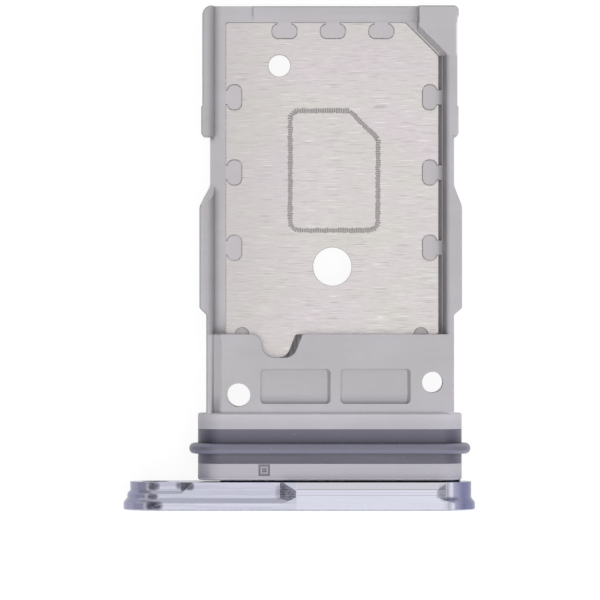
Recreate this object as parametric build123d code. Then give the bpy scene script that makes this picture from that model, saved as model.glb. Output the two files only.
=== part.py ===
from build123d import *
import os

# Two-sided SIM card tray, in millimetres.
# The origin is the centre of the bezel's outside face. +Y is the way the tray goes in,
# +Z is the way out of the first card bay, and the second bay is on the underside.

# Card that both bays are made for
card_length = 12.30
card_width = 8.80
card_thickness = 0.67
card_end_clearance = 0.02
card_side_clearance = 0.17
key_corner = 1.395

# Bezel
bezel_width = 13.80
bezel_height = 2.68
bezel_depth = 1.105
flange_thickness = 0.29
flange_slope = 0.20
back_inset = 0.15
front_chamfer = 0.045
eject_hole_radius = 0.523
eject_hole_inset = 1.26
end_relief_inset = 0.115
end_relief_depth = 0.33
end_relief_slope = 0.13
end_relief_reach = 2.28
end_relief_runout = 0.50
key_land_inset = 1.54
key_land_length = 5.49
key_nose_y = 0.65
key_nose_width = 0.28
key_left_run = 0.48
key_left_ramp = 0.62
key_right_run = 0.39
key_right_sweep = 0.70

# Shoulder and tang that join the bezel to the plug
shoulder_left_inset = 1.07
shoulder_right_inset = 0.06
shoulder_thickness = 0.60
shoulder_height = 0.07
tang_end_wall = 0.60
tang_wall = 0.31
tang_length = 1.70
tang_round = 0.15
tang_clearance = 0.01

# Plug and seal
plug_width = 10.35
plug_height = 1.88
plug_length = 2.62
plug_offset_x = 1.20
plug_chamfer = 0.05
seal_setback = 0.645
seal_width = 1.35
seal_depth = 0.28
seal_clearance = 0.01
ridge_width = 0.42
ridge_height = 0.34
ridge_setback = 0.59
mark_size = 0.45
mark_frame = 0.09
mark_core = 0.19
mark_depth = 0.08
mark_inset = 2.605
mark_setback = 0.40

# Steel plate
plate_thickness = 0.25
left_ledge = 0.45
end_ledge = 0.09
plate_groove = 0.17
groove_ledge = 0.05
plate_key_gap = 0.12
plate_seam = 0.006
plate_corner = 0.12
plate_key_round = 0.30
tab_embed = 0.35
tab_left_inset = 0.645
tab_right_inset = 0.69
tab_notch_radius = 0.27
tab_notch_sink = 0.05
small_hole_radius = 0.426
small_hole_inset = 2.105
small_hole_setback = 1.695
large_hole_radius = 0.754
large_hole_inset = 4.185
large_hole_rise = 2.655

# Rivet heads: plastic that fills the notches round the plate's edge
head_width = 0.985
head_depth = 0.57
head_round_share = 0.44
neck_width = 0.56
neck_length = 0.06
end_head_inset = 2.305
end_head_pitch = 1.90
end_head_count = 3
side_head_rise = 3.395
side_head_pitch = 2.95
side_head_count = 3

# Carrier frame
bay_offset_x = 1.15
block_length = 3.08
wall_lean = 0.14
groove_web = 0.08
rim_chamfer = 0.06
right_rim_round = 0.15
right_rim_drop = 0.17
rib_round = 0.30
rib_drop = 0.52
block_groove_drop = 0.22
block_bevel = 0.30
lip_length = 0.55
lip_slope = 0.20
lip_rise = 0.12
lip_inset = 1.545
corner_block_reach = 1.0
left_side_wall = 0.30
left_waist_wall = 0.16
left_rear_rail = 0.57
left_front_rail = 0.455
right_side_wall = 0.42
right_rear_rail = 0.735
right_front_rail = 0.55
rail_bump = 0.045
rail_bump_length = 1.16
tip_bump = 0.055
tip_bump_length = 0.40
rear_rail_setback = 0.765
rear_rail_length = 4.25
rail_slope = 0.26
rail_swoop = 0.80
swoop_round = 0.55
front_rail_length = 5.13
rail_end_round = 0.14
left_tip_round = 0.38
right_tip_round = 0.20
waist_ramp = 0.60

# Finger relief in the block, block holes and pads
relief_inset = 1.865
relief_width = 0.96
relief_splay = 0.36
relief_depth = 0.92
relief_round = 0.50
relief_lead_round = 0.43
relief_mouth_round = 0.12
relief_lean = 0.29
tongue_margin = 0.20
left_hole_radius = 0.457
left_hole_inset = 0.96
left_hole_rise = 0.705
right_hole_radius = 0.41
right_hole_inset = 0.42
right_hole_rise = 1.205
pad_inset = 1.815
pad_width = 2.75
pad_pitch = 3.13
pad_count = 2
pad_length = 1.37
pad_rise = 0.365
pad_depth = 0.16
pad_lean = 0.13
pad_round = 0.16

# Places that follow from the sizes
plug_start = bezel_depth + shoulder_height
plug_end = plug_start + plug_length
bay_width = card_width + card_side_clearance
bay_left = bay_offset_x - bay_width / 2
bay_right = bay_offset_x + bay_width / 2
bay_bottom = plug_end + block_length
bay_top = bay_bottom + card_length + card_end_clearance
tip = bay_top + lip_length
plate_top = plate_thickness / 2
wall_top = plate_top + card_thickness
lip_top = plate_top + lip_rise
plate_left = bay_left + left_ledge
plate_right = bay_right - plate_groove
plate_end = bay_top - end_ledge
tab_left = plate_left + tab_left_inset
tab_right = plate_right - tab_right_inset
end_head_x = plate_left + end_head_inset
side_head_y = bay_bottom + side_head_rise
block_face = bay_right - corner_block_reach
rear_rail_start = bay_bottom + rear_rail_setback
rear_rail_end = rear_rail_start + rear_rail_length
waist_start = rear_rail_end + rail_swoop
front_rail_start = tip - front_rail_length
bump_end = front_rail_start + rail_bump_length
key_low = bay_top - key_corner
relief_left = bay_left + relief_inset
relief_right = relief_left + relief_width
relief_mouth_right = relief_right + relief_splay
relief_bottom = bay_bottom - relief_depth
seal_start = plug_start + seal_setback
seal_end = seal_start + seal_width
core_height = plug_height - 2 * seal_depth
core_width = plug_width - 2 * seal_depth
pad_left = bay_left + pad_inset
pad_bottom = plug_end + pad_rise
eject_hole_x = eject_hole_inset - bezel_width / 2
key_land_right = bezel_width / 2 - key_land_inset
key_land_left = key_land_right - key_land_length
back_width = bezel_width - 2 * back_inset
back_height = bezel_height - 2 * back_inset
clear = bezel_width


def outline(corners):
    """Closed face in plan, from corners given as (x, y, radius that rounds the corner)."""
    points = [(x, y) for x, y, radius in corners]
    radii = [radius for x, y, radius in corners]
    return make_face(FilletPolyline(*points, radius=radii, close=True))


def upright(face, bottom, top):
    """Solid that rises straight from a plan face, between two heights."""
    return extrude(Pos(0, 0, bottom) * face, amount=top - bottom)


def leaning_cut(corners, bottom, lean):
    """Cut from bottom to beyond the wall's top, where its right side has moved out by lean."""
    rise = wall_top - bottom
    low = Pos(0, 0, bottom) * outline(corners(0))
    high = Pos(0, 0, bottom + 2 * rise) * outline(corners(2 * lean))
    return loft([low, high], ruled=True)


def across(face, start, end):
    """Solid along the tray from start to end, from a face drawn in width and height."""
    return extrude(Plane.XZ.offset(-start) * face, amount=start - end)


def sideways(points, left, right):
    """Solid from left to right, from corners given as (distance along the tray, height)."""
    face = make_face(Polyline(*points, close=True))
    return extrude(Plane.YZ.offset(left) * face, amount=right - left)


def both_faces(shape):
    """The shape and its mirror image on the underside."""
    return shape + mirror(shape, about=Plane.XY)


def oblong(width, height, shift=0):
    """Face with round ends, as wide and high as given, moved sideways by shift."""
    return Pos(shift, 0) * SlotOverall(width, height)


def carrier_outline():
    """Plan of the carrier: guide rails with swept ends, a waist between them, round tips."""
    root = plug_end - plug_chamfer
    left_side = bay_left - left_side_wall
    left_waist = bay_left - left_waist_wall
    left_rear = bay_left - left_rear_rail
    left_front = bay_left - left_front_rail
    right_side = bay_right + right_side_wall
    right_rear = bay_right + right_rear_rail
    right_front = bay_right + right_front_rail
    slope_end = rear_rail_start + rail_slope
    return outline([
        (left_side, root, 0),
        (right_side, root, 0),
        (right_side, rear_rail_start, rail_end_round),
        (right_rear, slope_end, rail_end_round),
        (right_rear, rear_rail_end, swoop_round),
        (right_side, waist_start, swoop_round),
        (right_side, front_rail_start, 0),
        (right_front + rail_bump, front_rail_start, rail_end_round),
        (right_front + rail_bump, bump_end, 0),
        (right_front, bump_end + rail_bump, 0),
        (right_front, tip - tip_bump_length - tip_bump, 0),
        (right_front + tip_bump, tip - tip_bump_length, 0),
        (right_front + tip_bump, tip, right_tip_round),
        (left_front, tip, left_tip_round),
        (left_front, bump_end + rail_bump, 0),
        (left_front - rail_bump, bump_end, 0),
        (left_front - rail_bump, front_rail_start, rail_end_round),
        (left_waist, front_rail_start, 0),
        (left_waist, waist_start, swoop_round),
        (left_rear, rear_rail_end, swoop_round),
        (left_rear, slope_end, rail_end_round),
        (left_side, rear_rail_start, rail_end_round),
    ])


def bay_corners(shift):
    """Plan of a card bay with its keyed corner, its right side moved out by shift."""
    right = bay_right + shift
    face = block_face + shift / 2
    return [
        (bay_left, bay_bottom, 0),
        (right, bay_bottom, 0),
        (right, key_line(right, shift), 0),
        (face, key_line(face, shift), 0),
        (face, tip + clear, 0),
        (bay_left, tip + clear, 0),
    ]


def relief_corners(shift):
    """Plan of the finger relief, from just inside the bay into the block."""
    mouth = bay_bottom + rim_chamfer
    lead = relief_left - relief_lead_round - rim_chamfer
    trail = relief_mouth_right + shift + relief_mouth_round + rim_chamfer
    return [
        (lead, mouth, 0),
        (lead, bay_bottom, 0),
        (relief_left, bay_bottom, relief_lead_round),
        (relief_left, relief_bottom, relief_round),
        (relief_right + shift, relief_bottom, relief_round),
        (relief_mouth_right + shift, bay_bottom, relief_mouth_round),
        (trail, bay_bottom, 0),
        (trail, mouth, 0),
    ]


def key_line(x, shift):
    """Where the keyed corner's 45 degree side is at x, moved out square to itself by shift."""
    return bay_right + key_low + shift * 2 ** 0.5 - x


def plate_outline(seam):
    """Plan of the plate's rim, grown by the seam: the tab and tongue lie in the block."""
    left = plate_left - seam
    right = plate_right + seam
    bottom = bay_bottom - seam
    top = plate_end + seam
    tab_bottom = bay_bottom - tab_embed - seam
    tongue_left = relief_left - tongue_margin - seam
    tongue_right = relief_mouth_right + tongue_margin + seam
    tongue_bottom = relief_bottom - tongue_margin - seam
    key_shift = seam - plate_key_gap
    return outline([
        (left, bottom, plate_corner),
        (tab_left, bottom, 0),
        (tab_left, tab_bottom, 0),
        (tongue_left, tab_bottom, 0),
        (tongue_left, tongue_bottom, relief_round),
        (tongue_right, tongue_bottom, relief_round),
        (tongue_right, tab_bottom, 0),
        (tab_right, tab_bottom, 0),
        (tab_right, bottom, 0),
        (right, bottom, plate_corner),
        (right, key_line(right, key_shift), plate_key_round),
        (key_line(top, key_shift), top, plate_key_round),
        (left, top, plate_corner),
    ])


def rivet_head(reach, seam):
    """Mushroom in plan, growing along +X from the plate's edge: a neck, then a round head."""
    width = head_width + 2 * seam
    depth = head_depth + 2 * seam
    radius = head_round_share * min(head_width, head_depth) + seam
    middle = neck_length + head_depth / 2
    head = Pos(middle, 0) * RectangleRounded(depth, width, radius)
    stem = Rectangle(middle + reach, neck_width + 2 * seam, align=(Align.MIN, Align.CENTER))
    return head + Pos(-reach, 0) * stem


def rivet_heads(seam):
    """All the mushrooms round the plate, and how far their necks reach into the carrier."""
    end_reach = end_ledge + lip_slope
    left_reach = left_ledge / 2
    right_reach = plate_groove + right_side_wall / 2
    heads = Sketch()
    for i in range(end_head_count):
        place = Location((end_head_x + i * end_head_pitch, plate_end, 0), (0, 0, -90))
        heads += place * rivet_head(end_reach, seam)
    for i in range(side_head_count):
        y = side_head_y + i * side_head_pitch
        left_place = Location((plate_left, y, 0))
        right_place = Location((plate_right, y, 0), (0, 0, 180))
        heads += left_place * rivet_head(left_reach, seam)
        heads += right_place * rivet_head(right_reach, seam)
    return heads


def tab_notches(seam):
    """The two round notches where the plate's tab goes under the block."""
    notch = Circle(tab_notch_radius + seam)
    return Pos(tab_left, bay_bottom) * notch + Pos(tab_right, bay_bottom) * notch


def make_steel_plate():
    """Stamped plate: keyed corner, notches for the rivet heads, two holes, tab and tongue."""
    face = plate_outline(0) - rivet_heads(plate_seam) - tab_notches(plate_seam)
    small_hole = Pos(plate_left + small_hole_inset, plate_end - small_hole_setback)
    large_hole = Pos(plate_left + large_hole_inset, bay_bottom + large_hole_rise)
    face -= small_hole * Circle(small_hole_radius)
    face -= large_hole * Circle(large_hole_radius)
    return upright(face, -plate_top, plate_top)


def plate_groove_outline():
    """Plan of the groove from inside the plate's right edge to a ledge beside the wall."""
    inside = plate_right - plate_corner
    outside = bay_right - groove_ledge
    return outline([
        (inside, bay_bottom, 0),
        (outside, bay_bottom, 0),
        (outside, key_low, 0),
        (inside, key_low, 0),
    ])


def end_lip():
    """Low bar across the tip, sloped down to both bays, that keeps the cards in."""
    crest = bay_top + lip_slope
    return sideways([
        (tip - rim_chamfer, lip_top),
        (tip, lip_top - rim_chamfer),
        (tip, rim_chamfer - lip_top),
        (tip - rim_chamfer, -lip_top),
        (crest, -lip_top),
        (bay_top, -plate_top),
        (bay_top, plate_top),
        (crest, lip_top),
    ], bay_left + lip_inset, block_face + wall_lean)


def rounding(drop, start, end):
    """Cut that rounds the left rib's inner top edge, down by drop, between two places."""
    corner = Pos(bay_left, wall_top) * Rectangle(rib_round, drop, align=Align.MAX)
    corner -= Pos(bay_left - rib_round, wall_top - drop) * Ellipse(rib_round, drop)
    return across(corner, start, end)


def right_rim_rounding():
    """Cut that rounds the top edge of the bay's right wall, as far as the keyed corner."""
    foot = bay_right + wall_lean * (1 - right_rim_drop / card_thickness)
    width = bay_right + wall_lean + right_rim_round - foot
    corner = Pos(foot, wall_top) * Rectangle(width, right_rim_drop, align=(Align.MIN, Align.MAX))
    corner -= Pos(foot + width, wall_top - right_rim_drop) * Ellipse(width, right_rim_drop)
    return across(corner, bay_bottom, key_low)


def rib_rounding():
    """The rib's rounding: deep beside the bay, and a shallow bevelled groove in the block."""
    groove_low = wall_top - block_groove_drop
    bevel = make_face(Polyline(
        (bay_left, groove_low),
        (bay_left + block_bevel, wall_top),
        (bay_left, wall_top),
        close=True,
    ))
    cut = rounding(rib_drop, bay_bottom, tip)
    cut += rounding(block_groove_drop, plug_end, bay_bottom)
    return cut + across(bevel, plug_end, bay_bottom)


def waist_window():
    """Cut that opens the left rib at the waist, with a ramp up to the rear rail."""
    return sideways([
        (front_rail_start, plate_top),
        (front_rail_start, clear),
        (waist_start - waist_ramp, clear),
        (waist_start - waist_ramp, wall_top),
        (waist_start, plate_top),
    ], bay_left - clear, bay_left)


def plug_core():
    """Round-ended plug with bevelled rims and the groove that the seal sits in."""
    core = across(oblong(plug_width, plug_height, plug_offset_x), plug_start, plug_end)
    core = chamfer(core.edges().filter_by(Plane.XZ), plug_chamfer)
    ring = oblong(plug_width + clear, plug_height + clear, plug_offset_x)
    ring -= oblong(core_width, core_height, plug_offset_x)
    return core - across(ring, seal_start, seal_end)


def tang(gap):
    """Flat root that the plug is moulded on, grown by the gap round it."""
    width = core_width - 2 * tang_end_wall + 2 * gap
    thickness = core_height - 2 * tang_wall + 2 * gap
    face = RectangleRounded(width, thickness, tang_round + gap)
    return across(Pos(plug_offset_x, 0) * face, bezel_depth, plug_start + tang_length + gap)


def pad_corners(shift):
    """Plan of the first recessed pad, its right side moved out by shift."""
    right = pad_left + pad_width - pad_lean + shift
    return [
        (pad_left, pad_bottom, pad_round),
        (right, pad_bottom, pad_round),
        (right, pad_bottom + pad_length, pad_round),
        (pad_left, pad_bottom + pad_length, pad_round),
    ]


def recessed_pads():
    """The row of shallow pads in the block, each with a sloped right side."""
    pad = leaning_cut(pad_corners, wall_top - pad_depth, pad_lean)
    return Part() + [Pos(i * pad_pitch, 0, 0) * pad for i in range(pad_count)]


def block_holes():
    """The two round holes through the block, one near each side of the bay."""
    left = Pos(bay_left + left_hole_inset, plug_end + left_hole_rise)
    right = Pos(bay_right - right_hole_inset, plug_end + right_hole_rise)
    return left * Circle(left_hole_radius) + right * Circle(right_hole_radius)


def square_mark():
    """Small square frame, with a square in it, sunk in the plug's face beside the seal."""
    frame = Rectangle(mark_size, mark_size)
    frame -= Rectangle(mark_size - 2 * mark_frame, mark_size - 2 * mark_frame)
    frame += Rectangle(mark_core, mark_core)
    plug_left = plug_offset_x - plug_width / 2
    place = Pos(plug_left + mark_inset, plug_start + mark_setback)
    return upright(place * frame, plug_height / 2 - mark_depth, clear)


def make_carrier_frame():
    """Moulded carrier: frame with two card bays, block, plug core and rivet heads."""
    body = upright(carrier_outline(), -wall_top, wall_top)
    rims = body.edges().group_by(Axis.Z)
    body = chamfer(rims[0] + rims[-1], rim_chamfer)
    bay = leaning_cut(bay_corners, plate_top, wall_lean)
    relief = leaning_cut(relief_corners, plate_top, relief_lean)
    body -= both_faces(bay + relief)
    body -= both_faces(rib_rounding() + waist_window())
    body -= both_faces(right_rim_rounding())
    body += end_lip()
    groove = plate_groove_outline() - rivet_heads(0)
    body -= upright(groove, groove_web - plate_top, plate_top)
    opening = plate_outline(plate_seam) - rivet_heads(0) - tab_notches(0)
    body -= upright(opening, -plate_top, plate_top)
    sink = tab_notches(plate_seam) & outline(bay_corners(0))
    body -= both_faces(upright(sink, plate_top - tab_notch_sink, plate_top))
    body -= upright(block_holes(), -clear, clear)
    body -= recessed_pads()
    return body + plug_core() - tang(tang_clearance) - square_mark()


def make_seal_ring():
    """Rubber band that fills the plug's groove, with one rounded sealing ridge."""
    outer = oblong(plug_width, plug_height, plug_offset_x)
    inner = oblong(core_width + 2 * seal_clearance, core_height + 2 * seal_clearance,
                   plug_offset_x)
    band = across(outer - inner, seal_start + seal_clearance, seal_end - seal_clearance)
    ridge_face = oblong(plug_width + 2 * ridge_height, plug_height + 2 * ridge_height,
                        plug_offset_x)
    ridge_start = seal_start + ridge_setback - ridge_width / 2
    ridge = across(ridge_face, ridge_start, ridge_start + ridge_width)
    ridge = fillet(ridge.edges().filter_by(Plane.XZ), ridge_width / 2.2)
    return band + (ridge - across(inner, ridge_start, ridge_start + ridge_width))


def key_land():
    """Raised land on the bezel's upper side, with a cutter's run-out ramp at each end."""
    floor = back_height / 2
    top = bezel_height / 2
    nose_low = key_nose_y - key_nose_width / 2
    nose_high = key_nose_y + key_nose_width / 2
    land = upright(outline([
        (key_land_left - key_left_run, flange_thickness, 0),
        (key_land_right + key_right_sweep, flange_thickness, 0),
        (key_land_right, nose_low, 0),
        (key_land_right, nose_high, 0),
        (key_land_right + key_right_run, bezel_depth, 0),
        (key_land_left - key_left_run, bezel_depth, 0),
        (key_land_left, nose_high, 0),
        (key_land_left, nose_low, 0),
    ]), 0, top)
    ramps = make_face(Polyline(
        (key_land_left - key_left_ramp, floor),
        (key_land_left, top),
        (key_land_right, top),
        (key_land_right + key_right_run, floor),
        close=True,
    ))
    land += across(ramps, flange_thickness, bezel_depth)
    return land & across(oblong(bezel_width, bezel_height), 0, bezel_depth)


def end_relief():
    """Cut that steps the back of the bezel's left end in once more, then ramps out."""
    full_height = back_height / 2
    low_height = full_height - end_relief_inset
    full = oblong(back_width, back_height)
    low = oblong(back_width - 2 * end_relief_inset, 2 * low_height)
    slope_end = bezel_depth - end_relief_depth
    slope_start = slope_end - end_relief_slope
    kept = loft([Plane.XZ.offset(-slope_start) * full, Plane.XZ.offset(-slope_end) * low],
                ruled=True)
    kept += across(low, slope_end, bezel_depth)
    ramp_start = end_relief_reach - bezel_width / 2
    ramp_end = ramp_start + end_relief_runout
    reach = make_face(Polyline(
        (-clear, -full_height),
        (ramp_end, -full_height),
        (ramp_start, -low_height),
        (ramp_start, low_height),
        (ramp_end, full_height),
        (-clear, full_height),
        close=True,
    ))
    corner = outline([
        (-clear, slope_start, 0),
        (ramp_start, slope_start, 0),
        (ramp_end, bezel_depth, 0),
        (-clear, bezel_depth, 0),
    ])
    cut = across(reach, slope_start, bezel_depth) & upright(corner, -clear, clear)
    return cut - kept


def make_bezel():
    """Machined end piece: flange, stepped back, key land, eject hole, shoulder and tang."""
    rim = oblong(bezel_width, bezel_height)
    step = oblong(back_width, back_height)
    slope_end = flange_thickness + flange_slope
    slope = loft([Plane.XZ.offset(-flange_thickness) * rim, Plane.XZ.offset(-slope_end) * step],
                 ruled=True)
    bezel = across(rim, 0, flange_thickness) + slope + across(step, slope_end, bezel_depth)
    bezel += key_land()
    bezel -= end_relief()
    bezel -= across(Pos(eject_hole_x, 0) * Circle(eject_hole_radius), -clear, clear)
    front = bezel.faces().sort_by(Axis.Y)[0]
    bezel = chamfer(front.edges(), front_chamfer)
    shoulder_width = plug_width - shoulder_left_inset - shoulder_right_inset
    shoulder_x = plug_offset_x + (shoulder_left_inset - shoulder_right_inset) / 2
    shoulder = oblong(shoulder_width, shoulder_thickness, shoulder_x)
    return bezel + across(shoulder, flange_thickness, plug_start) + tang(0)


os.makedirs("parts", exist_ok=True)
for name, make in (
    ("carrier_frame", make_carrier_frame),
    ("steel_plate", make_steel_plate),
    ("seal_ring", make_seal_ring),
    ("bezel", make_bezel),
):
    export_step(make(), f"parts/{name}.step")
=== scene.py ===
import bpy
import math
import random
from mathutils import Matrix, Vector


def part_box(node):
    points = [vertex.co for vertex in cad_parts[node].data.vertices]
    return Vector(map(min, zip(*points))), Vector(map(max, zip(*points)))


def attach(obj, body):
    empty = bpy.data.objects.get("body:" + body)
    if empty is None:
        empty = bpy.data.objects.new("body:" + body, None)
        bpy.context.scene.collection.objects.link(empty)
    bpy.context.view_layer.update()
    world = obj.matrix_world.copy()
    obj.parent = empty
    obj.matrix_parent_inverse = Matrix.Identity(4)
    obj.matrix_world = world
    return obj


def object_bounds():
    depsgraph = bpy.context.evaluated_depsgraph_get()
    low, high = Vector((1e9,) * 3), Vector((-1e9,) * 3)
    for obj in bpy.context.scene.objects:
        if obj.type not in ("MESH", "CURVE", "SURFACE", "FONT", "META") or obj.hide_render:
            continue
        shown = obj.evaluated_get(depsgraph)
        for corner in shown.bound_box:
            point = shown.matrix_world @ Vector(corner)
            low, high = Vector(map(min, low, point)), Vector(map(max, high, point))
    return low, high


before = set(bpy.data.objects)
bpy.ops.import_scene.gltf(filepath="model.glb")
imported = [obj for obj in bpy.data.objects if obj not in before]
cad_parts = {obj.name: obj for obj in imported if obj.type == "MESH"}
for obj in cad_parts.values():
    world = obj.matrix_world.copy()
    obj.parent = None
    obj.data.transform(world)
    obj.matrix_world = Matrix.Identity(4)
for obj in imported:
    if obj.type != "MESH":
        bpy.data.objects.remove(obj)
cad_low, cad_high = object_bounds()

MM = 0.001
random.seed(4)

# Camera: straight above the tray, with the frame of the photograph
photo_side = 600
pixels_per_mm = 25.6
photo_centre_x = 0.03
photo_centre_y = 8.22
lens = 300.0
sensor = 36.0
nearest_seen = 0.01
farthest_seen = 10.0

# Light: a diffuser overhead, and weak light that grows from the left side to the right
lamp_way = (0.08, -0.22, 0.97)
lamp_level = 1.66
lamp_edge_cosine = 0.66
lamp_full_cosine = 0.90
left_level = 0.10
right_level = 0.56
side_reach = 0.9
light_colour = (1.0, 0.995, 1.0, 1.0)

# Floor: a wide plane that glows
floor_size = 600.0
floor_glow = 0.88
floor_roughness = 0.9

# Etched card outline, measured from the steel plate's left side and far end
etch_inset = 2.440
etch_setback = 3.370
etch_width = 3.625
etch_length = 4.875
etch_key = 1.11
etch_round = 0.35
etch_line = 0.182
etch_pitch = 0.088
etch_stroke = 0.069
etch_corner = 0.030
etch_ragged = 0.022
etch_film = 0.003

# Places read from the model, in millimetres
plate_low, plate_high = (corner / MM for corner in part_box("steel_plate"))
frame_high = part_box("carrier_frame")[1] / MM
bezel_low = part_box("bezel")[0] / MM
seal_low, seal_high = (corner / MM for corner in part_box("seal_ring"))

# How far shades take to fade out at their sides, from soft to hard
fade = 0.10
crisp = 0.05
sharp = 0.02
hairline = 0.01

# Seal: the ridge's middle is measured from the band's edge nearest the bezel
ridge_middle = seal_low.y + 0.58
ridge_half_width = 0.21
crest_half_width = 0.11

# Bezel: how far back the blasted outside face goes, and where the painted shade on the root starts
outside_full = 0.02
outside_end = 0.05
root_start = 1.094
root_full = 1.104

# Bezel: the raised land, with the line behind which it is duller, and its scribed lines,
# each given as distance from the outside face and depth of tone
land_line = 0.84
land_start = -0.10
land_end = 5.75
land_scribes = ((0.83, 0.62), (0.705, 0.12), (0.605, 0.32))
scribe_half_width = 0.025

# Bezel: the ramps and their cutter lines, the painted dark blue reflection on the right end, the
# flange and the slope
ramps_start = bezel_low.x + 1.40
blue_start = 6.08
blue_full = 6.42
flange_low = 0.24
flange_high = 0.32
slope_reach = 0.3
cutter_lines = 66.0

# Spots of painted dark reflection and shade: inset from the bezel's left end, distance from the
# outside face, half width, half length, depth of tone
reflection_spots = (
    (0.86, 0.73, 0.34, 0.08, 0.55),
    (0.84, 0.37, 0.30, 0.08, 0.40),
    (1.22, 0.96, 0.28, 0.22, 0.92),
    (1.18, 0.55, 0.26, 0.14, 0.85),
    (1.24, 0.19, 0.40, 0.24, 0.98),
    (2.36, 0.98, 0.34, 0.20, 0.75),
    (2.62, 0.95, 0.22, 0.20, 0.75),
    (6.18, 0.72, 0.26, 0.34, 0.50),
    (12.52, 0.74, 0.24, 0.36, 0.45),
    (12.75, 0.45, 0.44, 0.11, 0.56),
)

# Carrier: where the plug, block and bays start along the tray, and the left rail's inner side
plug_start = 1.175
block_start = 3.795
bay_start = 6.875
block_middle = (block_start + bay_start) / 2
block_half = (bay_start - block_start) / 2
bay_side = plate_low.x - 0.45

# Carrier: tints, painted light and painted shade on the block and the plug
cool_reach = 1.0
pale_strip_x = -3.19
pale_strip_half = 0.17
crease_half = 0.05
pad_low = 4.16
pad_shade_end = pad_low + 0.38
pad_rim = frame_high.z - 0.18
pad_floor = frame_high.z - 0.22
plug_top_start = block_start - 0.45
plug_side = -3.60
plug_side_end = plug_side + 0.18
heel_start = plug_start + 0.09
heel_full = plug_start + 0.05

# Carrier: tones, painted light and painted shade on the rails, in the bay and in the finger relief
waist_low = 12.62
waist_high = 14.45
rail_dip_start = bay_side - 0.45
rail_dip_full = bay_side - 0.03
rail_end_middle = waist_low - 0.3
rail_end_half = 0.4
lip_left = bay_side + 0.5
lip_left_full = bay_side + 0.2
heads_bottom = plate_high.z - 0.06
heads_top = plate_high.z + 0.01
low_head_start = bay_start + 0.6
low_head_full = bay_start + 0.3
key_corner = (4.10, 17.75)
relief_low = (-0.55, 5.85)
relief_high = (0.25, 6.95)
relief_floor = plate_high.z + 0.02
relief_rim = frame_high.z - 0.16
relief_dark_height = 0.40
relief_lit_height = 0.78

# Square mark in the plug
square_mark_low = (-1.62, 1.32)
square_mark_high = (-1.12, 1.83)
square_mark_bottom = frame_high.z - 0.09
square_mark_top = frame_high.z - 0.06

# Steel: where its painted shade starts toward its left side and its far end
shade_left_start = 0.4
shade_far_start = plate_high.y - 2.6

# Screen colours of the plastic
plastic_dark = (186, 183, 186)
plastic_light = (193, 190, 195)
plastic_flow = (179, 176, 180)
plastic_grain = (161, 158, 163)
plastic_cool = (184, 182, 200)
plastic_strip_light = (226, 223, 227)
plastic_edge_wear_and_highlight = (210, 207, 210)
plastic_corner_shade = (66, 63, 68)
key_wall_light_tone = (228, 225, 228)
head_tone = (201, 196, 198)
low_head_tone = (226, 222, 224)
head_rim_tone = (92, 88, 90)
rail_shade_tone = (84, 81, 86)
rail_end_light_tone = (232, 229, 233)
crease_shade_tone = (112, 108, 114)
pad_foot_tone = (116, 112, 118)
relief_lit_tone = (226, 222, 226)
relief_shade_streak_tone = (70, 67, 72)
lip_slope_light_tone = (214, 210, 213)
plug_top_highlight_tone = (226, 224, 230)
plug_side_tone = (90, 88, 100)
heel_light_tone = (240, 238, 246)
square_mark_tone = (96, 93, 102)

# Screen colours of the steel
steel_dark = (161, 157, 157)
steel_light = (164, 161, 160)
steel_streak_dark = (145, 140, 140)
steel_streak_light = (179, 176, 175)
steel_warm = (167, 158, 163)
steel_cool = (163, 163, 156)
scratch_light = (194, 192, 191)
scratch_dark = (124, 119, 119)
steel_shade = (145, 141, 141)
steel_pit = (137, 133, 133)
steel_edge_shade = (75, 71, 71)
burn_dark = (142, 138, 138)
burn_light = (170, 166, 166)

# Screen colours of the seal
rubber_dark = (88, 87, 101)
rubber_light = (98, 97, 112)
rubber_upper_light = (100, 98, 114)
rubber_shade_by_ridge = (60, 58, 79)
rubber_ridge_light = (130, 129, 148)
rubber_crest_shade = (104, 103, 120)
rubber_lint = (150, 149, 158)

# Screen colours of the bezel
blast_dark = (188, 188, 212)
blast_light = (224, 223, 240)
speck_dark = (158, 158, 188)
painted_glint_tone = (250, 250, 255)
cut_dark = (150, 151, 163)
cut_light = (172, 173, 182)
cut_cloud = (162, 160, 176)
cut_steep_reflection = (170, 170, 202)
cut_highlight_stripe = (212, 213, 230)
cut_slope_light = (203, 204, 222)
cut_left_shade = (233, 233, 235)
cut_right_dark_reflection = (104, 106, 146)
land_tone = (160, 161, 171)
land_back_tone = (146, 143, 147)
scribe_tone = (80, 78, 84)
ramp_dark_reflection = (66, 66, 86)
reflection_spot_tone = (24, 26, 46)
bezel_edge_highlight = (216, 215, 228)
root_shade_tone = (8, 8, 12)

# Screen colours of the floor
floor_dark = (108, 108, 110)
floor_light = (113, 113, 113)


# Helpers

def put(tree, socket, value):
    """Joins a socket to another one, or sets it to a plain value."""
    if isinstance(value, bpy.types.NodeSocket):
        tree.links.new(value, socket)
    else:
        socket.default_value = value


def add(tree, kind, inputs, **settings):
    """New node with its own settings, and its inputs given by name or number."""
    node = tree.nodes.new(kind)
    for name, value in settings.items():
        setattr(node, name, value)
    for name, value in inputs.items():
        put(tree, node.inputs[name], value)
    return node


def new_material(name):
    """New material, with its node tree and its surface shader."""
    material = bpy.data.materials.new(name)
    material.use_nodes = True
    return material, material.node_tree, material.node_tree.nodes["Principled BSDF"]


def paint(piece, material):
    """The piece's only material."""
    piece.data.materials.clear()
    piece.data.materials.append(material)


def place_in_mm(tree):
    """Where a point is on the object, in millimetres."""
    place = add(tree, "ShaderNodeTexCoord", {}).outputs["Object"]
    return add(tree, "ShaderNodeMapping", {"Vector": place, "Scale": (1 / MM,) * 3}).outputs[0]


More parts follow.
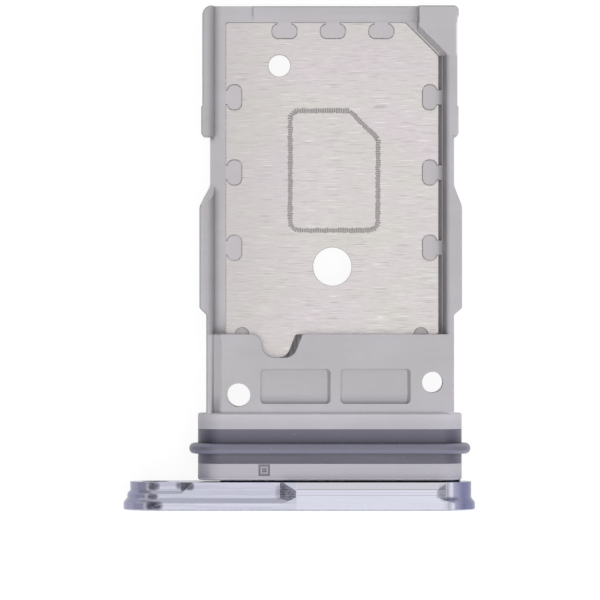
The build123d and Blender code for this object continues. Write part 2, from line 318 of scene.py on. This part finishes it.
def noise(tree, stretch, detail=3.0, roughness=0.55, shift=0.0):
    """Noise from 0 to 1, with stretch as how many grains there are to a millimetre."""
    place = add(tree, "ShaderNodeMapping", {
        "Vector": place_in_mm(tree),
        "Scale": stretch,
        "Location": (shift, shift, shift),
    })
    grain = add(tree, "ShaderNodeTexNoise", {
        "Vector": place.outputs[0],
        "Scale": 1.0,
        "Detail": detail,
        "Roughness": roughness,
    })
    return grain.outputs["Fac"]


def between(tree, value, start, end, low=0.0, high=1.0, smooth=False):
    """Value mapped from start..end to low..high, and held at both ends."""
    node = add(tree, "ShaderNodeMapRange", {
        "Value": value,
        "From Min": start,
        "From Max": end,
        "To Min": low,
        "To Max": high,
    }, interpolation_type="SMOOTHSTEP" if smooth else "LINEAR")
    return node.outputs["Result"]


def maths(tree, operation, first, second=0.0):
    """Result of a sum, product or other operation on two values."""
    return add(tree, "ShaderNodeMath", {0: first, 1: second}, operation=operation).outputs[0]


def product(tree, first, *others):
    """Product of two or more values."""
    for value in others:
        first = maths(tree, "MULTIPLY", first, value)
    return first


def srgb(colour):
    """Linear colour from a screen colour of 0 to 255."""
    def linear(level):
        level = level / 255
        if level <= 0.04045:
            return level / 12.92
        return ((level + 0.055) / 1.055) ** 2.4
    red, green, blue = colour
    return (linear(red), linear(green), linear(blue), 1.0)


def mixed(tree, factor, first, second, blend="MIX"):
    """Two linear colours mixed by a factor."""
    node = add(tree, "ShaderNodeMix", {"Factor": factor}, data_type="RGBA", blend_type=blend)
    put(tree, node.inputs[6], first)
    put(tree, node.inputs[7], second)
    return node.outputs[2]


def blended(tree, factor, first, second):
    """Two plain values mixed by a factor."""
    node = add(tree, "ShaderNodeMix", {"Factor": factor}, data_type="FLOAT")
    put(tree, node.inputs[2], first)
    put(tree, node.inputs[3], second)
    return node.outputs[0]


def mottled(tree, value, start, end, first, second):
    """Two screen colours mixed by a value, which is mapped from start..end."""
    return mixed(tree, between(tree, value, start, end), srgb(first), srgb(second))


def toward(tree, tone, colour, mask, share=1.0):
    """The tone moved toward a screen colour, by a share of a mask."""
    return mixed(tree, product(tree, mask, share), tone, srgb(colour))


def bumped(tree, height, depth, normal=None, strength=1.0):
    """Surface normal bent by a height map that is depth millimetres deep."""
    inputs = {"Height": height, "Distance": depth * MM, "Strength": strength}
    if normal is not None:
        inputs["Normal"] = normal
    return add(tree, "ShaderNodeBump", inputs).outputs["Normal"]


def along_edges(tree, radius, start, end):
    """1 along sharp edges and 0 on flat faces."""
    soft = add(tree, "ShaderNodeBevel", {"Radius": radius * MM}, samples=6).outputs[0]
    hard = add(tree, "ShaderNodeNewGeometry", {}).outputs["Normal"]
    match = add(tree, "ShaderNodeVectorMath", {0: soft, 1: hard}, operation="DOT_PRODUCT")
    return between(tree, match.outputs["Value"], start, end)


def openness(tree, reach):
    """1 on open faces, falling to 0 deep in corners and grooves narrower than the reach."""
    return add(tree, "ShaderNodeAmbientOcclusion", {"Distance": reach * MM},
               samples=8).outputs["AO"]


def axis_of(tree, name):
    """One coordinate of the place in millimetres: X, Y or Z."""
    split = add(tree, "ShaderNodeSeparateXYZ", {"Vector": place_in_mm(tree)})
    return split.outputs[name]


def facing_of(tree, name):
    """One part of the direction that the surface faces: X, Y or Z."""
    facing = add(tree, "ShaderNodeNewGeometry", {}).outputs["Normal"]
    return add(tree, "ShaderNodeSeparateXYZ", {"Vector": facing}).outputs[name]


def window(tree, value, middle, half_width, soft):
    """1 where the value is near the middle, 0 beyond the half width, with a soft edge."""
    off = maths(tree, "ABSOLUTE", maths(tree, "SUBTRACT", value, middle))
    return between(tree, off, half_width, half_width - soft, smooth=True)


def soft_spot(tree, x, y, half_width, half_length):
    """1 in the middle of an oval spot in plan, fading to 0 at its edge."""
    squareness = 2.6
    spread = 0.0
    for name, middle, half in (("X", x, half_width), ("Y", y, half_length)):
        off = maths(tree, "SUBTRACT", axis_of(tree, name), middle)
        off = maths(tree, "ABSOLUTE", maths(tree, "DIVIDE", off, half))
        spread = maths(tree, "ADD", maths(tree, "POWER", off, squareness), spread)
    return between(tree, spread, 1.0, 0.0, smooth=True)


def box_mask(tree, low, high, bottom, top):
    """1 between two corners in X and Y and two heights, and 0 outside them."""
    mask = window(tree, axis_of(tree, "Z"), (bottom + top) / 2, (top - bottom) / 2, soft=0.002)
    for name, start, end in (("X", low[0], high[0]), ("Y", low[1], high[1])):
        side = window(tree, axis_of(tree, name), (start + end) / 2, (end - start) / 2, hairline)
        mask = product(tree, mask, side)
    return mask


# Moulded plastic

def on_block(tree):
    """1 on the block between the plug and the bays."""
    return window(tree, axis_of(tree, "Y"), block_middle, block_half, crisp)


def in_bay(tree):
    """1 in the bays and beside them, 0 on the block and the end lip."""
    along = axis_of(tree, "Y")
    beyond_block = between(tree, along, bay_start - fade, bay_start + fade)
    before_lip = between(tree, along, plate_high.y + crisp, plate_high.y - crisp)
    left_of_lip = between(tree, axis_of(tree, "X"), lip_left, lip_left_full)
    return product(tree, beyond_block, maths(tree, "MAXIMUM", before_lip, left_of_lip))


def on_heads(tree):
    """1 on the rivet heads' tops, which are level with the steel plate."""
    low = (plate_low.x, bay_start - fade)
    return box_mask(tree, low, plate_high, heads_bottom, heads_top)


def in_key(tree):
    """1 in the bay's keyed corner."""
    x, y = key_corner
    return product(tree, between(tree, axis_of(tree, "X"), x, x + fade),
                   between(tree, axis_of(tree, "Y"), y, y + fade))


def plastic_body(tree, cloud, grain):
    """Cloudy tone with flow lines, cooler on the plug, painted light on a strip of the block, and
    pale edges of wear and painted highlight.
    """
    flow = noise(tree, (0.5, 3.0, 3.0), detail=5, shift=9)
    tone = mottled(tree, cloud, 0.35, 0.65, plastic_dark, plastic_light)
    tone = toward(tree, tone, plastic_flow, between(tree, flow, 0.45, 0.75), share=0.35)
    tone = toward(tree, tone, plastic_grain, between(tree, grain, 0.3, 0.7), share=0.16)
    cool = between(tree, axis_of(tree, "Y"), block_start + cool_reach, block_start - cool_reach)
    tone = toward(tree, tone, plastic_cool, cool, share=0.35)
    # Painted light on a strip along the block's sloped left edge
    strip = window(tree, axis_of(tree, "X"), pale_strip_x, pale_strip_half, soft=0.04)
    tone = toward(tree, tone, plastic_strip_light, product(tree, strip, on_block(tree)), share=0.40)
    # Pale edges: partly wear, partly painted highlight
    return toward(tree, tone, plastic_edge_wear_and_highlight, along_edges(tree, 0.05, 0.97, 0.72), share=0.35)


def bay_tones(tree, tone):
    """Painted shade in the bay's corners, thin on the heads and in the key, and painted light on
    the key's steep wall.
    """
    key = in_key(tree)
    # Painted shade that deepens in corners and grooves
    corner_shade = product(
        tree,
        between(tree, openness(tree, 0.35), 0.95, 0.40),
        between(tree, in_bay(tree), 0.0, 1.0, low=0.05, high=0.55),
        between(tree, on_heads(tree), 0.0, 1.0, low=1.0, high=0.10),
        between(tree, key, 0.0, 1.0, low=1.0, high=0.55),
    )
    tone = toward(tree, tone, plastic_corner_shade, corner_shade)
    # Painted light on the key's steep wall
    steep = between(tree, facing_of(tree, "Z"), 0.90, 0.80)
    before_lip = between(tree, axis_of(tree, "Y"), plate_high.y, plate_high.y - crisp)
    return toward(tree, tone, key_wall_light_tone, product(tree, key, steep, before_lip), share=0.80)


def head_tones(tree, tone):
    """Pale rivet heads with dark rims, palest next to the block."""
    heads = on_heads(tree)
    tone = toward(tree, tone, head_tone, heads, share=0.5)
    lowest = between(tree, axis_of(tree, "Y"), low_head_start, low_head_full)
    tone = toward(tree, tone, low_head_tone, product(tree, heads, lowest), share=0.5)
    rim = product(tree, along_edges(tree, 0.045, 0.999, 0.93), heads)
    return toward(tree, tone, head_rim_tone, rim, share=0.95)


def rail_tones(tree, tone):
    """Painted shade on the inner side of the left rail except at the waist, and painted light on
    its end there.
    """
    across = axis_of(tree, "X")
    along = axis_of(tree, "Y")
    off_waist = maths(tree, "MAXIMUM", between(tree, along, waist_low, waist_low - fade),
                      between(tree, along, waist_high, waist_high + fade))
    # Painted shade at the foot of the rail
    dip = product(
        tree,
        between(tree, across, rail_dip_start, rail_dip_full),
        between(tree, across, bay_side + sharp, bay_side),
        off_waist,
        in_bay(tree),
    )
    tone = toward(tree, tone, rail_shade_tone, dip, share=0.34)
    # Painted light on the rail's end facet at the waist
    rail_end = product(
        tree,
        between(tree, across, bay_side + sharp, bay_side - sharp),
        between(tree, facing_of(tree, "Y"), 0.10, 0.25),
        window(tree, along, rail_end_middle, rail_end_half, crisp),
    )
    return toward(tree, tone, rail_end_light_tone, rail_end, share=0.55)


def block_tones(tree, tone):
    """Painted shade in the crease at the left of the block, and shade at the foot of the recessed
    pads.
    """
    along = axis_of(tree, "Y")
    # Painted shade in the crease
    crease = product(
        tree,
        window(tree, axis_of(tree, "X"), bay_side - crease_half, crease_half, crisp),
        between(tree, along, bay_start, block_start, low=0.35, high=0.9),
        on_block(tree),
    )
    tone = toward(tree, tone, crease_shade_tone, crease)
    foot = product(
        tree,
        between(tree, along, pad_shade_end, pad_low, low=0.15, high=1.0),
        between(tree, axis_of(tree, "Z"), pad_rim, pad_floor),
        on_block(tree),
    )
    return toward(tree, tone, pad_foot_tone, foot, share=0.4)


def relief_tones(tree, tone):
    """Finger relief: painted light toward its rim, with painted shade in dark streaks down its
    wall.
    """
    relief = box_mask(tree, relief_low, relief_high, relief_floor, relief_rim)
    lit = between(tree, axis_of(tree, "Z"), relief_dark_height, relief_lit_height)
    tone = toward(tree, tone, relief_lit_tone, product(tree, relief, lit), share=0.7)
    # Painted shade in streaks down the relief's wall
    streaks = noise(tree, (9.0, 0.6, 0.3), detail=2, shift=31)
    streaks = product(tree, relief, between(tree, streaks, 0.55, 0.45))
    return toward(tree, tone, relief_shade_streak_tone, streaks, share=0.5)


def lip_tones(tree, tone):
    """Painted light on the slope of the end lip."""
    slope = product(
        tree,
        between(tree, facing_of(tree, "Y"), -0.12, -0.25),
        between(tree, axis_of(tree, "Y"), plate_high.y, plate_high.y + crisp),
    )
    return toward(tree, tone, lip_slope_light_tone, slope, share=0.25)


def plug_tones(tree, tone):
    """Plug: painted highlight on its top edge, painted light on its heel, painted shade on its left
    side next to the bezel, dark square mark.
    """
    along = axis_of(tree, "Y")
    # Painted highlight along the plug's top edge
    top_edge = product(tree, between(tree, along, plug_top_start, block_start),
                       between(tree, along, block_start + crisp, block_start))
    tone = toward(tree, tone, plug_top_highlight_tone, top_edge, share=0.30)
    # Painted shade on the plug's left side
    left_side = product(tree, between(tree, along, seal_low.y + fade, seal_low.y),
                        between(tree, axis_of(tree, "X"), plug_side_end, plug_side))
    tone = toward(tree, tone, plug_side_tone, left_side, share=0.20)
    # Painted light on the heel's chamfer
    heel = between(tree, along, heel_start, heel_full)
    tone = toward(tree, tone, heel_light_tone, heel, share=0.75)
    inked = box_mask(tree, square_mark_low, square_mark_high,
                     square_mark_bottom, square_mark_top)
    return toward(tree, tone, square_mark_tone, inked, share=0.6)


def moulded_plastic():
    """Matte grey plastic: cloudy tone, spark-eroded grain, pale edges of wear and painted
    highlight, painted shade in corners.
    """
    material, tree, shader = new_material("moulded_plastic")
    cloud = noise(tree, (0.35, 0.35, 0.35), detail=4)
    grain = noise(tree, (22.0, 22.0, 22.0), detail=2, shift=5)
    tone = plastic_body(tree, cloud, grain)
    for shade in (
        bay_tones,
        head_tones,
        rail_tones,
        block_tones,
        relief_tones,
        lip_tones,
        plug_tones,
    ):
        tone = shade(tree, tone)
    put(tree, shader.inputs["Base Color"], tone)
    put(tree, shader.inputs["Roughness"], between(tree, grain, 0.2, 0.8, 0.48, 0.62))
    shader.inputs["Specular IOR Level"].default_value = 0.42
    normal = bumped(tree, cloud, 0.010, strength=0.5)
    put(tree, shader.inputs["Normal"], bumped(tree, grain, 0.004, normal))
    return material


# Steel

def brushed_tones(tree, broad, fine):
    """Streaks along the tray's width over faint warm and cool tints, with thin scratches."""
    scratch = noise(tree, (1.1, 36.0, 1.0), detail=1, roughness=0.4, shift=19)
    tint = noise(tree, (0.35, 0.60, 1.0), detail=2, shift=11)
    tone = mottled(tree, broad, 0.35, 0.65, steel_dark, steel_light)
    tone = toward(tree, tone, steel_streak_dark, between(tree, fine, 0.55, 0.80), share=0.55)
    tone = toward(tree, tone, steel_streak_light, between(tree, fine, 0.42, 0.20), share=0.35)
    tone = mixed(tree, 0.45, tone, mottled(tree, tint, 0.35, 0.65, steel_warm, steel_cool))
    tone = toward(tree, tone, scratch_light, between(tree, scratch, 0.66, 0.72), share=0.60)
    return toward(tree, tone, scratch_dark, between(tree, scratch, 0.35, 0.28), share=0.70)


def stainless_steel():
    """Brushed steel, with painted shade toward the left and the far end, fine pits, and painted
    shade along its edges.
    """
    material, tree, shader = new_material("brushed_steel")
    broad = noise(tree, (0.25, 6.0, 1.0), detail=4)
    fine = noise(tree, (2.2, 24.0, 1.0), detail=3, roughness=0.6, shift=3)
    pits = noise(tree, (9.0, 16.0, 1.0), detail=3, shift=7)
    tone = brushed_tones(tree, broad, fine)
    # Painted shade toward the left side and the far end
    left = between(tree, axis_of(tree, "X"), shade_left_start, plate_low.x, high=0.45)
    far = between(tree, axis_of(tree, "Y"), shade_far_start, plate_high.y, high=0.22)
    tone = toward(tree, tone, steel_shade, maths(tree, "MAXIMUM", left, far))
    tone = toward(tree, tone, steel_pit, between(tree, pits, 0.60, 0.78), share=0.30)
    # Painted shade along the plate's edges
    tone = toward(tree, tone, steel_edge_shade, along_edges(tree, 0.050, 0.999, 0.93), share=0.80)
    put(tree, shader.inputs["Base Color"], tone)
    shader.inputs["Metallic"].default_value = 1.0
    put(tree, shader.inputs["Roughness"], between(tree, fine, 0.25, 0.75, 0.24, 0.36))
    normal = bumped(tree, broad, 0.0008)
    put(tree, shader.inputs["Normal"], bumped(tree, fine, 0.0008, normal))
    return material


def etched_steel():
    """Burnt steel: matte grey with an uneven burn."""
    material, tree, shader = new_material("etched_steel")
    burn = noise(tree, (12.0, 12.0, 1.0), detail=3)
    put(tree, shader.inputs["Base Color"], mottled(tree, burn, 0.3, 0.7, burn_dark, burn_light))
    shader.inputs["Metallic"].default_value = 0.6
    put(tree, shader.inputs["Roughness"], between(tree, burn, 0.2, 0.8, 0.60, 0.80))
    put(tree, shader.inputs["Normal"], bumped(tree, burn, 0.002))
    return material


# Rubber

def seal_rubber():
    """Slate silicone rubber: satin, with painted light on the ridge, painted shade on its crest and
    above it, and specks of lint.
    """
    material, tree, shader = new_material("seal_rubber")
    flow = noise(tree, (0.4, 4.0, 4.0), detail=4)
    grain = noise(tree, (16.0, 16.0, 16.0), detail=2, shift=6)
    lint = noise(tree, (5.0, 14.0, 14.0), detail=2, shift=13)
    along = axis_of(tree, "Y")
    tone = mottled(tree, flow, 0.35, 0.65, rubber_dark, rubber_light)
    # Painted shade on the band above the ridge, deepening toward the ridge
    upper = mottled(tree, along, seal_high.y, ridge_middle + ridge_half_width,
                    rubber_upper_light, rubber_shade_by_ridge)
    above_ridge = between(tree, along, ridge_middle - hairline, ridge_middle + hairline, high=0.9)
    tone = mixed(tree, above_ridge, tone, upper)
    # Painted light on the ridge's sides and painted shade on its crest
    ridge = window(tree, along, ridge_middle, ridge_half_width, soft=0.03)
    tone = toward(tree, tone, rubber_ridge_light, ridge)
    crest = window(tree, along, ridge_middle, crest_half_width, soft=0.07)
    tone = toward(tree, tone, rubber_crest_shade, crest, share=0.8)
    tone = toward(tree, tone, rubber_lint, between(tree, lint, 0.68, 0.80), share=0.5)
    put(tree, shader.inputs["Base Color"], tone)
    put(tree, shader.inputs["Roughness"], between(tree, grain, 0.2, 0.8, 0.36, 0.50))
    shader.inputs["Sheen Weight"].default_value = 0.08
    put(tree, shader.inputs["Normal"], bumped(tree, grain, 0.003))
    return material


# Anodised metal

def level_of(tree):
    """1 on faces that lie flat, falling to 0 on upright ones."""
    return maths(tree, "ABSOLUTE", facing_of(tree, "Z"))


def on_slope(tree):
    """1 on the sloped back of the bezel's left part."""
    return product(
        tree,
        between(tree, facing_of(tree, "Y"), 0.3, 0.5),
        between(tree, level_of(tree), 0.62, 0.74),
        between(tree, axis_of(tree, "X"), slope_reach, -slope_reach),
    )


def on_land(tree):
    """1 along the raised land."""
    across = axis_of(tree, "X")
    return product(tree, between(tree, across, land_start - sharp, land_start + sharp),
                   between(tree, across, land_end, land_end - crisp))


def at_root(tree):
    """1 on the root behind the bezel, which is painted dark as shade, 0 on the bezel's own back
    face.
    """
    behind = between(tree, axis_of(tree, "Y"), root_start, root_full)
    return product(tree, behind, between(tree, facing_of(tree, "Y"), 0.6, 0.3))


def blasted_tones(tree, blast):
    """Blasted outside face, with dark specks and painted glints."""
    glint = noise(tree, (22.0, 22.0, 22.0), detail=1, shift=17)
    tone = mottled(tree, blast, 0.3, 0.7, blast_dark, blast_light)
    tone = toward(tree, tone, speck_dark, between(tree, glint, 0.40, 0.30))
    # Painted glints on the blasted face
    return toward(tree, tone, painted_glint_tone, between(tree, glint, 0.60, 0.70))


def machined_tones(tree, lines):
    """Machined faces: cutter lines, with painted reflections: bluer on steep faces, a highlight
    stripe, a pale slope, shade on the left and dark blue on the right end.
    """
    level = level_of(tree)
    across = axis_of(tree, "X")
    cloud = noise(tree, (0.5, 0.5, 0.5), detail=3, shift=21)
    cut = mottled(tree, lines, 0.35, 0.65, cut_dark, cut_light)
    cut = toward(tree, cut, cut_cloud, between(tree, cloud, 0.4, 0.7), share=0.4)
    # Painted reflection: steep faces bluer
    cut = mixed(tree, between(tree, level, 0.80, 0.995), srgb(cut_steep_reflection), cut)
    # Painted highlight on faces tilted a little from flat
    cut = toward(tree, cut, cut_highlight_stripe, window(tree, level, 0.942, 0.032, 0.025), share=0.75)
    slope = on_slope(tree)
    # Painted light on the slope
    cut = toward(tree, cut, cut_slope_light, slope)
    # Painted shade on the bezel's left part
    left_part = product(
        tree,
        between(tree, across, land_start + crisp, land_start - crisp),
        between(tree, axis_of(tree, "Y"), flange_low, flange_high, low=0.5, high=1.0),
        between(tree, slope, 1.0, 0.0),
    )
    cut = mixed(tree, left_part, cut, srgb(cut_left_shade), blend="MULTIPLY")
    # Painted dark blue reflection on the right end
    return toward(tree, cut, cut_right_dark_reflection, between(tree, across, blue_start, blue_full), share=0.9)


def land_tones(tree, cut):
    """The land: smoother than the rest, duller at its back, with scribed lines along it."""
    along = axis_of(tree, "Y")
    land = on_land(tree)
    cut = toward(tree, cut, land_tone, land, share=0.65)
    back = between(tree, along, land_line - hairline, land_line + hairline)
    cut = toward(tree, cut, land_back_tone, product(tree, land, back), share=0.65)
    for distance, depth in land_scribes:
        scribe = product(tree, window(tree, along, distance, scribe_half_width, sharp), land)
        cut = toward(tree, cut, scribe_tone, scribe, share=depth)
    return cut


def ramp_tones(tree, cut):
    """Ramps that lean to the left: painted dark reflection, with a broken pattern of cutter lines.
    """
    across = axis_of(tree, "X")
    wave = maths(tree, "SINE", maths(tree, "MULTIPLY", axis_of(tree, "Y"), cutter_lines))
    teeth = noise(tree, (9.0, 13.0, 1.0), detail=1, shift=37)
    ramp = product(
        tree,
        window(tree, facing_of(tree, "X"), -0.23, 0.07, 0.02),
        between(tree, across, ramps_start, ramps_start + crisp),
        between(tree, wave, -0.6, 0.8, low=1.0, high=0.55),
        between(tree, teeth, 0.42, 0.56, low=0.55, high=1.0),
    )
    return toward(tree, cut, ramp_dark_reflection, ramp)


def reflection_spot_tones(tree, cut):
    """Spots of painted dark reflection and shade, dragged into lines, on upward and downward faces.
    """
    drag = noise(tree, (3.0, 14.0, 14.0), detail=3, roughness=0.65, shift=8)
    marked = product(tree, between(tree, drag, 0.40, 0.54, low=0.60, high=1.0),
                     between(tree, level_of(tree), 0.3, 0.6))
    for inset, distance, half_width, half_length, depth in reflection_spots:
        spot = soft_spot(tree, bezel_low.x + inset, distance, half_width, half_length)
        cut = toward(tree, cut, reflection_spot_tone, product(tree, spot, marked), share=depth)
    return cut


def anodised_metal():
    """Lavender anodised metal: blasted outside face, cutter lines and painted reflections on the
    rest, painted highlight on its edges, painted shade on the root.
    """
    material, tree, shader = new_material("anodised_metal")
    blast = noise(tree, (17.0, 17.0, 17.0), detail=2, roughness=0.7)
    lines = noise(tree, (0.25, 9.0, 9.0), detail=5, roughness=0.7, shift=2)
    outside = between(tree, axis_of(tree, "Y"), outside_end, outside_full)
    root = at_root(tree)
    cut = machined_tones(tree, lines)
    for shade in (land_tones, ramp_tones, reflection_spot_tones):
        cut = shade(tree, cut)
    tone = mixed(tree, outside, cut, blasted_tones(tree, blast))
    # Painted highlight along the edges
    tone = toward(tree, tone, bezel_edge_highlight, along_edges(tree, 0.035, 0.99, 0.85), share=0.4)
    # Painted shade: the root in the gap behind the bezel is painted black
    put(tree, shader.inputs["Base Color"], toward(tree, tone, root_shade_tone, root))
    polish = product(tree, between(tree, level_of(tree), 0.982, 0.999),
                     between(tree, on_slope(tree), 0.0, 1.0, low=1.0, high=0.3))
    polish = maths(tree, "MAXIMUM", between(tree, polish, 0.0, 1.0, low=0.15), outside)
    put(tree, shader.inputs["Metallic"], maths(tree, "MAXIMUM", polish, root))
    smooth = between(tree, lines, 0.2, 0.8, 0.15, 0.28)
    rough = between(tree, blast, 0.2, 0.8, 0.38, 0.50)
    put(tree, shader.inputs["Roughness"], blended(tree, outside, smooth, rough))
    line_depth = between(tree, on_land(tree), 0.0, 1.0, low=0.30, high=0.10)
    height = blended(tree, outside, product(tree, lines, line_depth), blast)
    put(tree, shader.inputs["Normal"], bumped(tree, height, 0.006))
    return material


# Floor

def pale_floor():
    """Pale, faintly uneven surface that glows, as a light table does."""
    material, tree, shader = new_material("pale_floor")
    cloud = noise(tree, (0.02, 0.02, 0.02), detail=3)
    put(tree, shader.inputs["Base Color"], mixed(tree, cloud, srgb(floor_dark), srgb(floor_light)))
    shader.inputs["Roughness"].default_value = floor_roughness
    shader.inputs["Emission Color"].default_value = (1.0, 1.0, 1.0, 1.0)
    shader.inputs["Emission Strength"].default_value = floor_glow
    return material


# Etched outline

def turned(arrow, angle):
    """A flat arrow turned by an angle."""
    return Vector((
        arrow.x * math.cos(angle) - arrow.y * math.sin(angle),
        arrow.x * math.sin(angle) + arrow.y * math.cos(angle),
    ))


def corner_turns(corners):
    """For each corner: place, radius, direction before it, turn, and how far it trims its sides."""
    turns = []
    count = len(corners)
    for i, (x, y, radius) in enumerate(corners):
        here = Vector((x, y))
        come = (here - Vector(corners[i - 1][:2])).normalized()
        go = (Vector(corners[(i + 1) % count][:2]) - here).normalized()
        turn = come.angle_signed(go)
        trim = max(radius, etch_corner) * math.tan(abs(turn) / 2)
        turns.append((here, radius, come, turn, trim))
    return turns


def walk(corners, pitch):
    """Points about a pitch apart on the sides and rounded corners, each with its direction."""
    steps = []
    turns = corner_turns(corners)
    for i, (here, radius, come, turn, trim) in enumerate(turns):
        last, last_trim = turns[i - 1][0], turns[i - 1][4]
        start = last + come * last_trim
        arc_start = here - come * trim
        length = (arc_start - start).length
        count = round(length / pitch)
        for k in range(count):
            steps.append((start + come * length * (k + 0.5) / count, come))
        if radius:
            arc_count = max(2, round(radius * abs(turn) / pitch))
            side = -1 if turn > 0 else 1
            centre = arc_start + Vector((-come.y, come.x)) * radius * side
            spoke = arc_start - centre
            for k in range(arc_count):
                bend = -turn * (k + 0.5) / arc_count
                steps.append((centre + turned(spoke, bend), turned(come, bend)))
    return steps


def card_corners(half):
    """The middle of the outline's line at each corner, with the radius that rounds it."""
    left = plate_low.x + etch_inset + half
    right = left + etch_width - etch_line
    top = plate_high.y - etch_setback - half
    bottom = top - etch_length + etch_line
    return [
        (left, bottom, etch_round),
        (right, bottom, etch_round),
        (right, top - etch_key, 0),
        (right - etch_key, top, 0),
        (left, top, etch_round),
    ]


def etched_outline():
    """Card symbol on the plate: an outline with a cut corner, made of short burnt strokes."""
    half = etch_line / 2
    height = plate_high.z + etch_film
    vertices = []
    faces = []
    for point, way in walk(card_corners(half), etch_pitch):
        across = Vector((-way.y, way.x))
        outer = half + random.uniform(-1, 1) * etch_ragged
        inner = half + random.uniform(-1, 1) * etch_ragged
        along = way * etch_stroke / 2
        first = len(vertices)
        for corner in (
            point - along - across * inner,
            point + along - across * inner,
            point + along + across * outer,
            point - along + across * outer,
        ):
            vertices.append((corner.x * MM, corner.y * MM, height * MM))
        faces.append((first, first + 1, first + 2, first + 3))
    mesh = bpy.data.meshes.new("etched_outline")
    mesh.from_pydata(vertices, [], faces)
    piece = bpy.data.objects.new("etched_outline", mesh)
    bpy.context.scene.collection.objects.link(piece)
    paint(piece, etched_steel())
    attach(piece, "root")


# Stage

def make_floor():
    """Pale floor that the bezel rests on."""
    bpy.ops.mesh.primitive_plane_add(size=floor_size * MM, location=(0, 0, cad_low.z))
    floor = bpy.context.object
    floor.name = "floor"
    paint(floor, pale_floor())


def make_lights():
    """Diffuser overhead, and surroundings that are brighter on the right than on the left."""
    world = bpy.data.worlds.new("studio")
    world.use_nodes = True
    tree = world.node_tree
    way = add(tree, "ShaderNodeTexCoord", {}).outputs["Generated"]
    side = add(tree, "ShaderNodeSeparateXYZ", {"Vector": way}).outputs["X"]
    fill = between(tree, side, -side_reach, side_reach, left_level, right_level)
    cosine = add(tree, "ShaderNodeVectorMath", {
        0: way,
        1: Vector(lamp_way).normalized(),
    }, operation="DOT_PRODUCT").outputs["Value"]
    lamp = between(tree, cosine, lamp_edge_cosine, lamp_full_cosine, 0.0, lamp_level, smooth=True)
    background = tree.nodes["Background"]
    background.inputs["Color"].default_value = light_colour
    put(tree, background.inputs["Strength"], maths(tree, "ADD", fill, lamp))
    bpy.context.scene.world = world


def make_camera():
    """Long lens straight above, as wide as the photograph at the height of the walls' tops."""
    camera_data = bpy.data.cameras.new("camera")
    camera_data.lens = lens
    camera_data.sensor_width = sensor
    camera_data.clip_start = nearest_seen
    camera_data.clip_end = farthest_seen
    camera = bpy.data.objects.new("camera", camera_data)
    bpy.context.scene.collection.objects.link(camera)
    distance = photo_side / pixels_per_mm * lens / sensor
    camera.location = Vector((photo_centre_x, photo_centre_y, frame_high.z + distance)) * MM
    bpy.context.scene.camera = camera


make_camera()
make_lights()
make_floor()
for node, make_material in (
    ("carrier_frame", moulded_plastic),
    ("steel_plate", stainless_steel),
    ("seal_ring", seal_rubber),
    ("bezel", anodised_metal),
):
    paint(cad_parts[node], make_material())
etched_outline()
bpy.context.scene.view_settings.view_transform = "Standard"
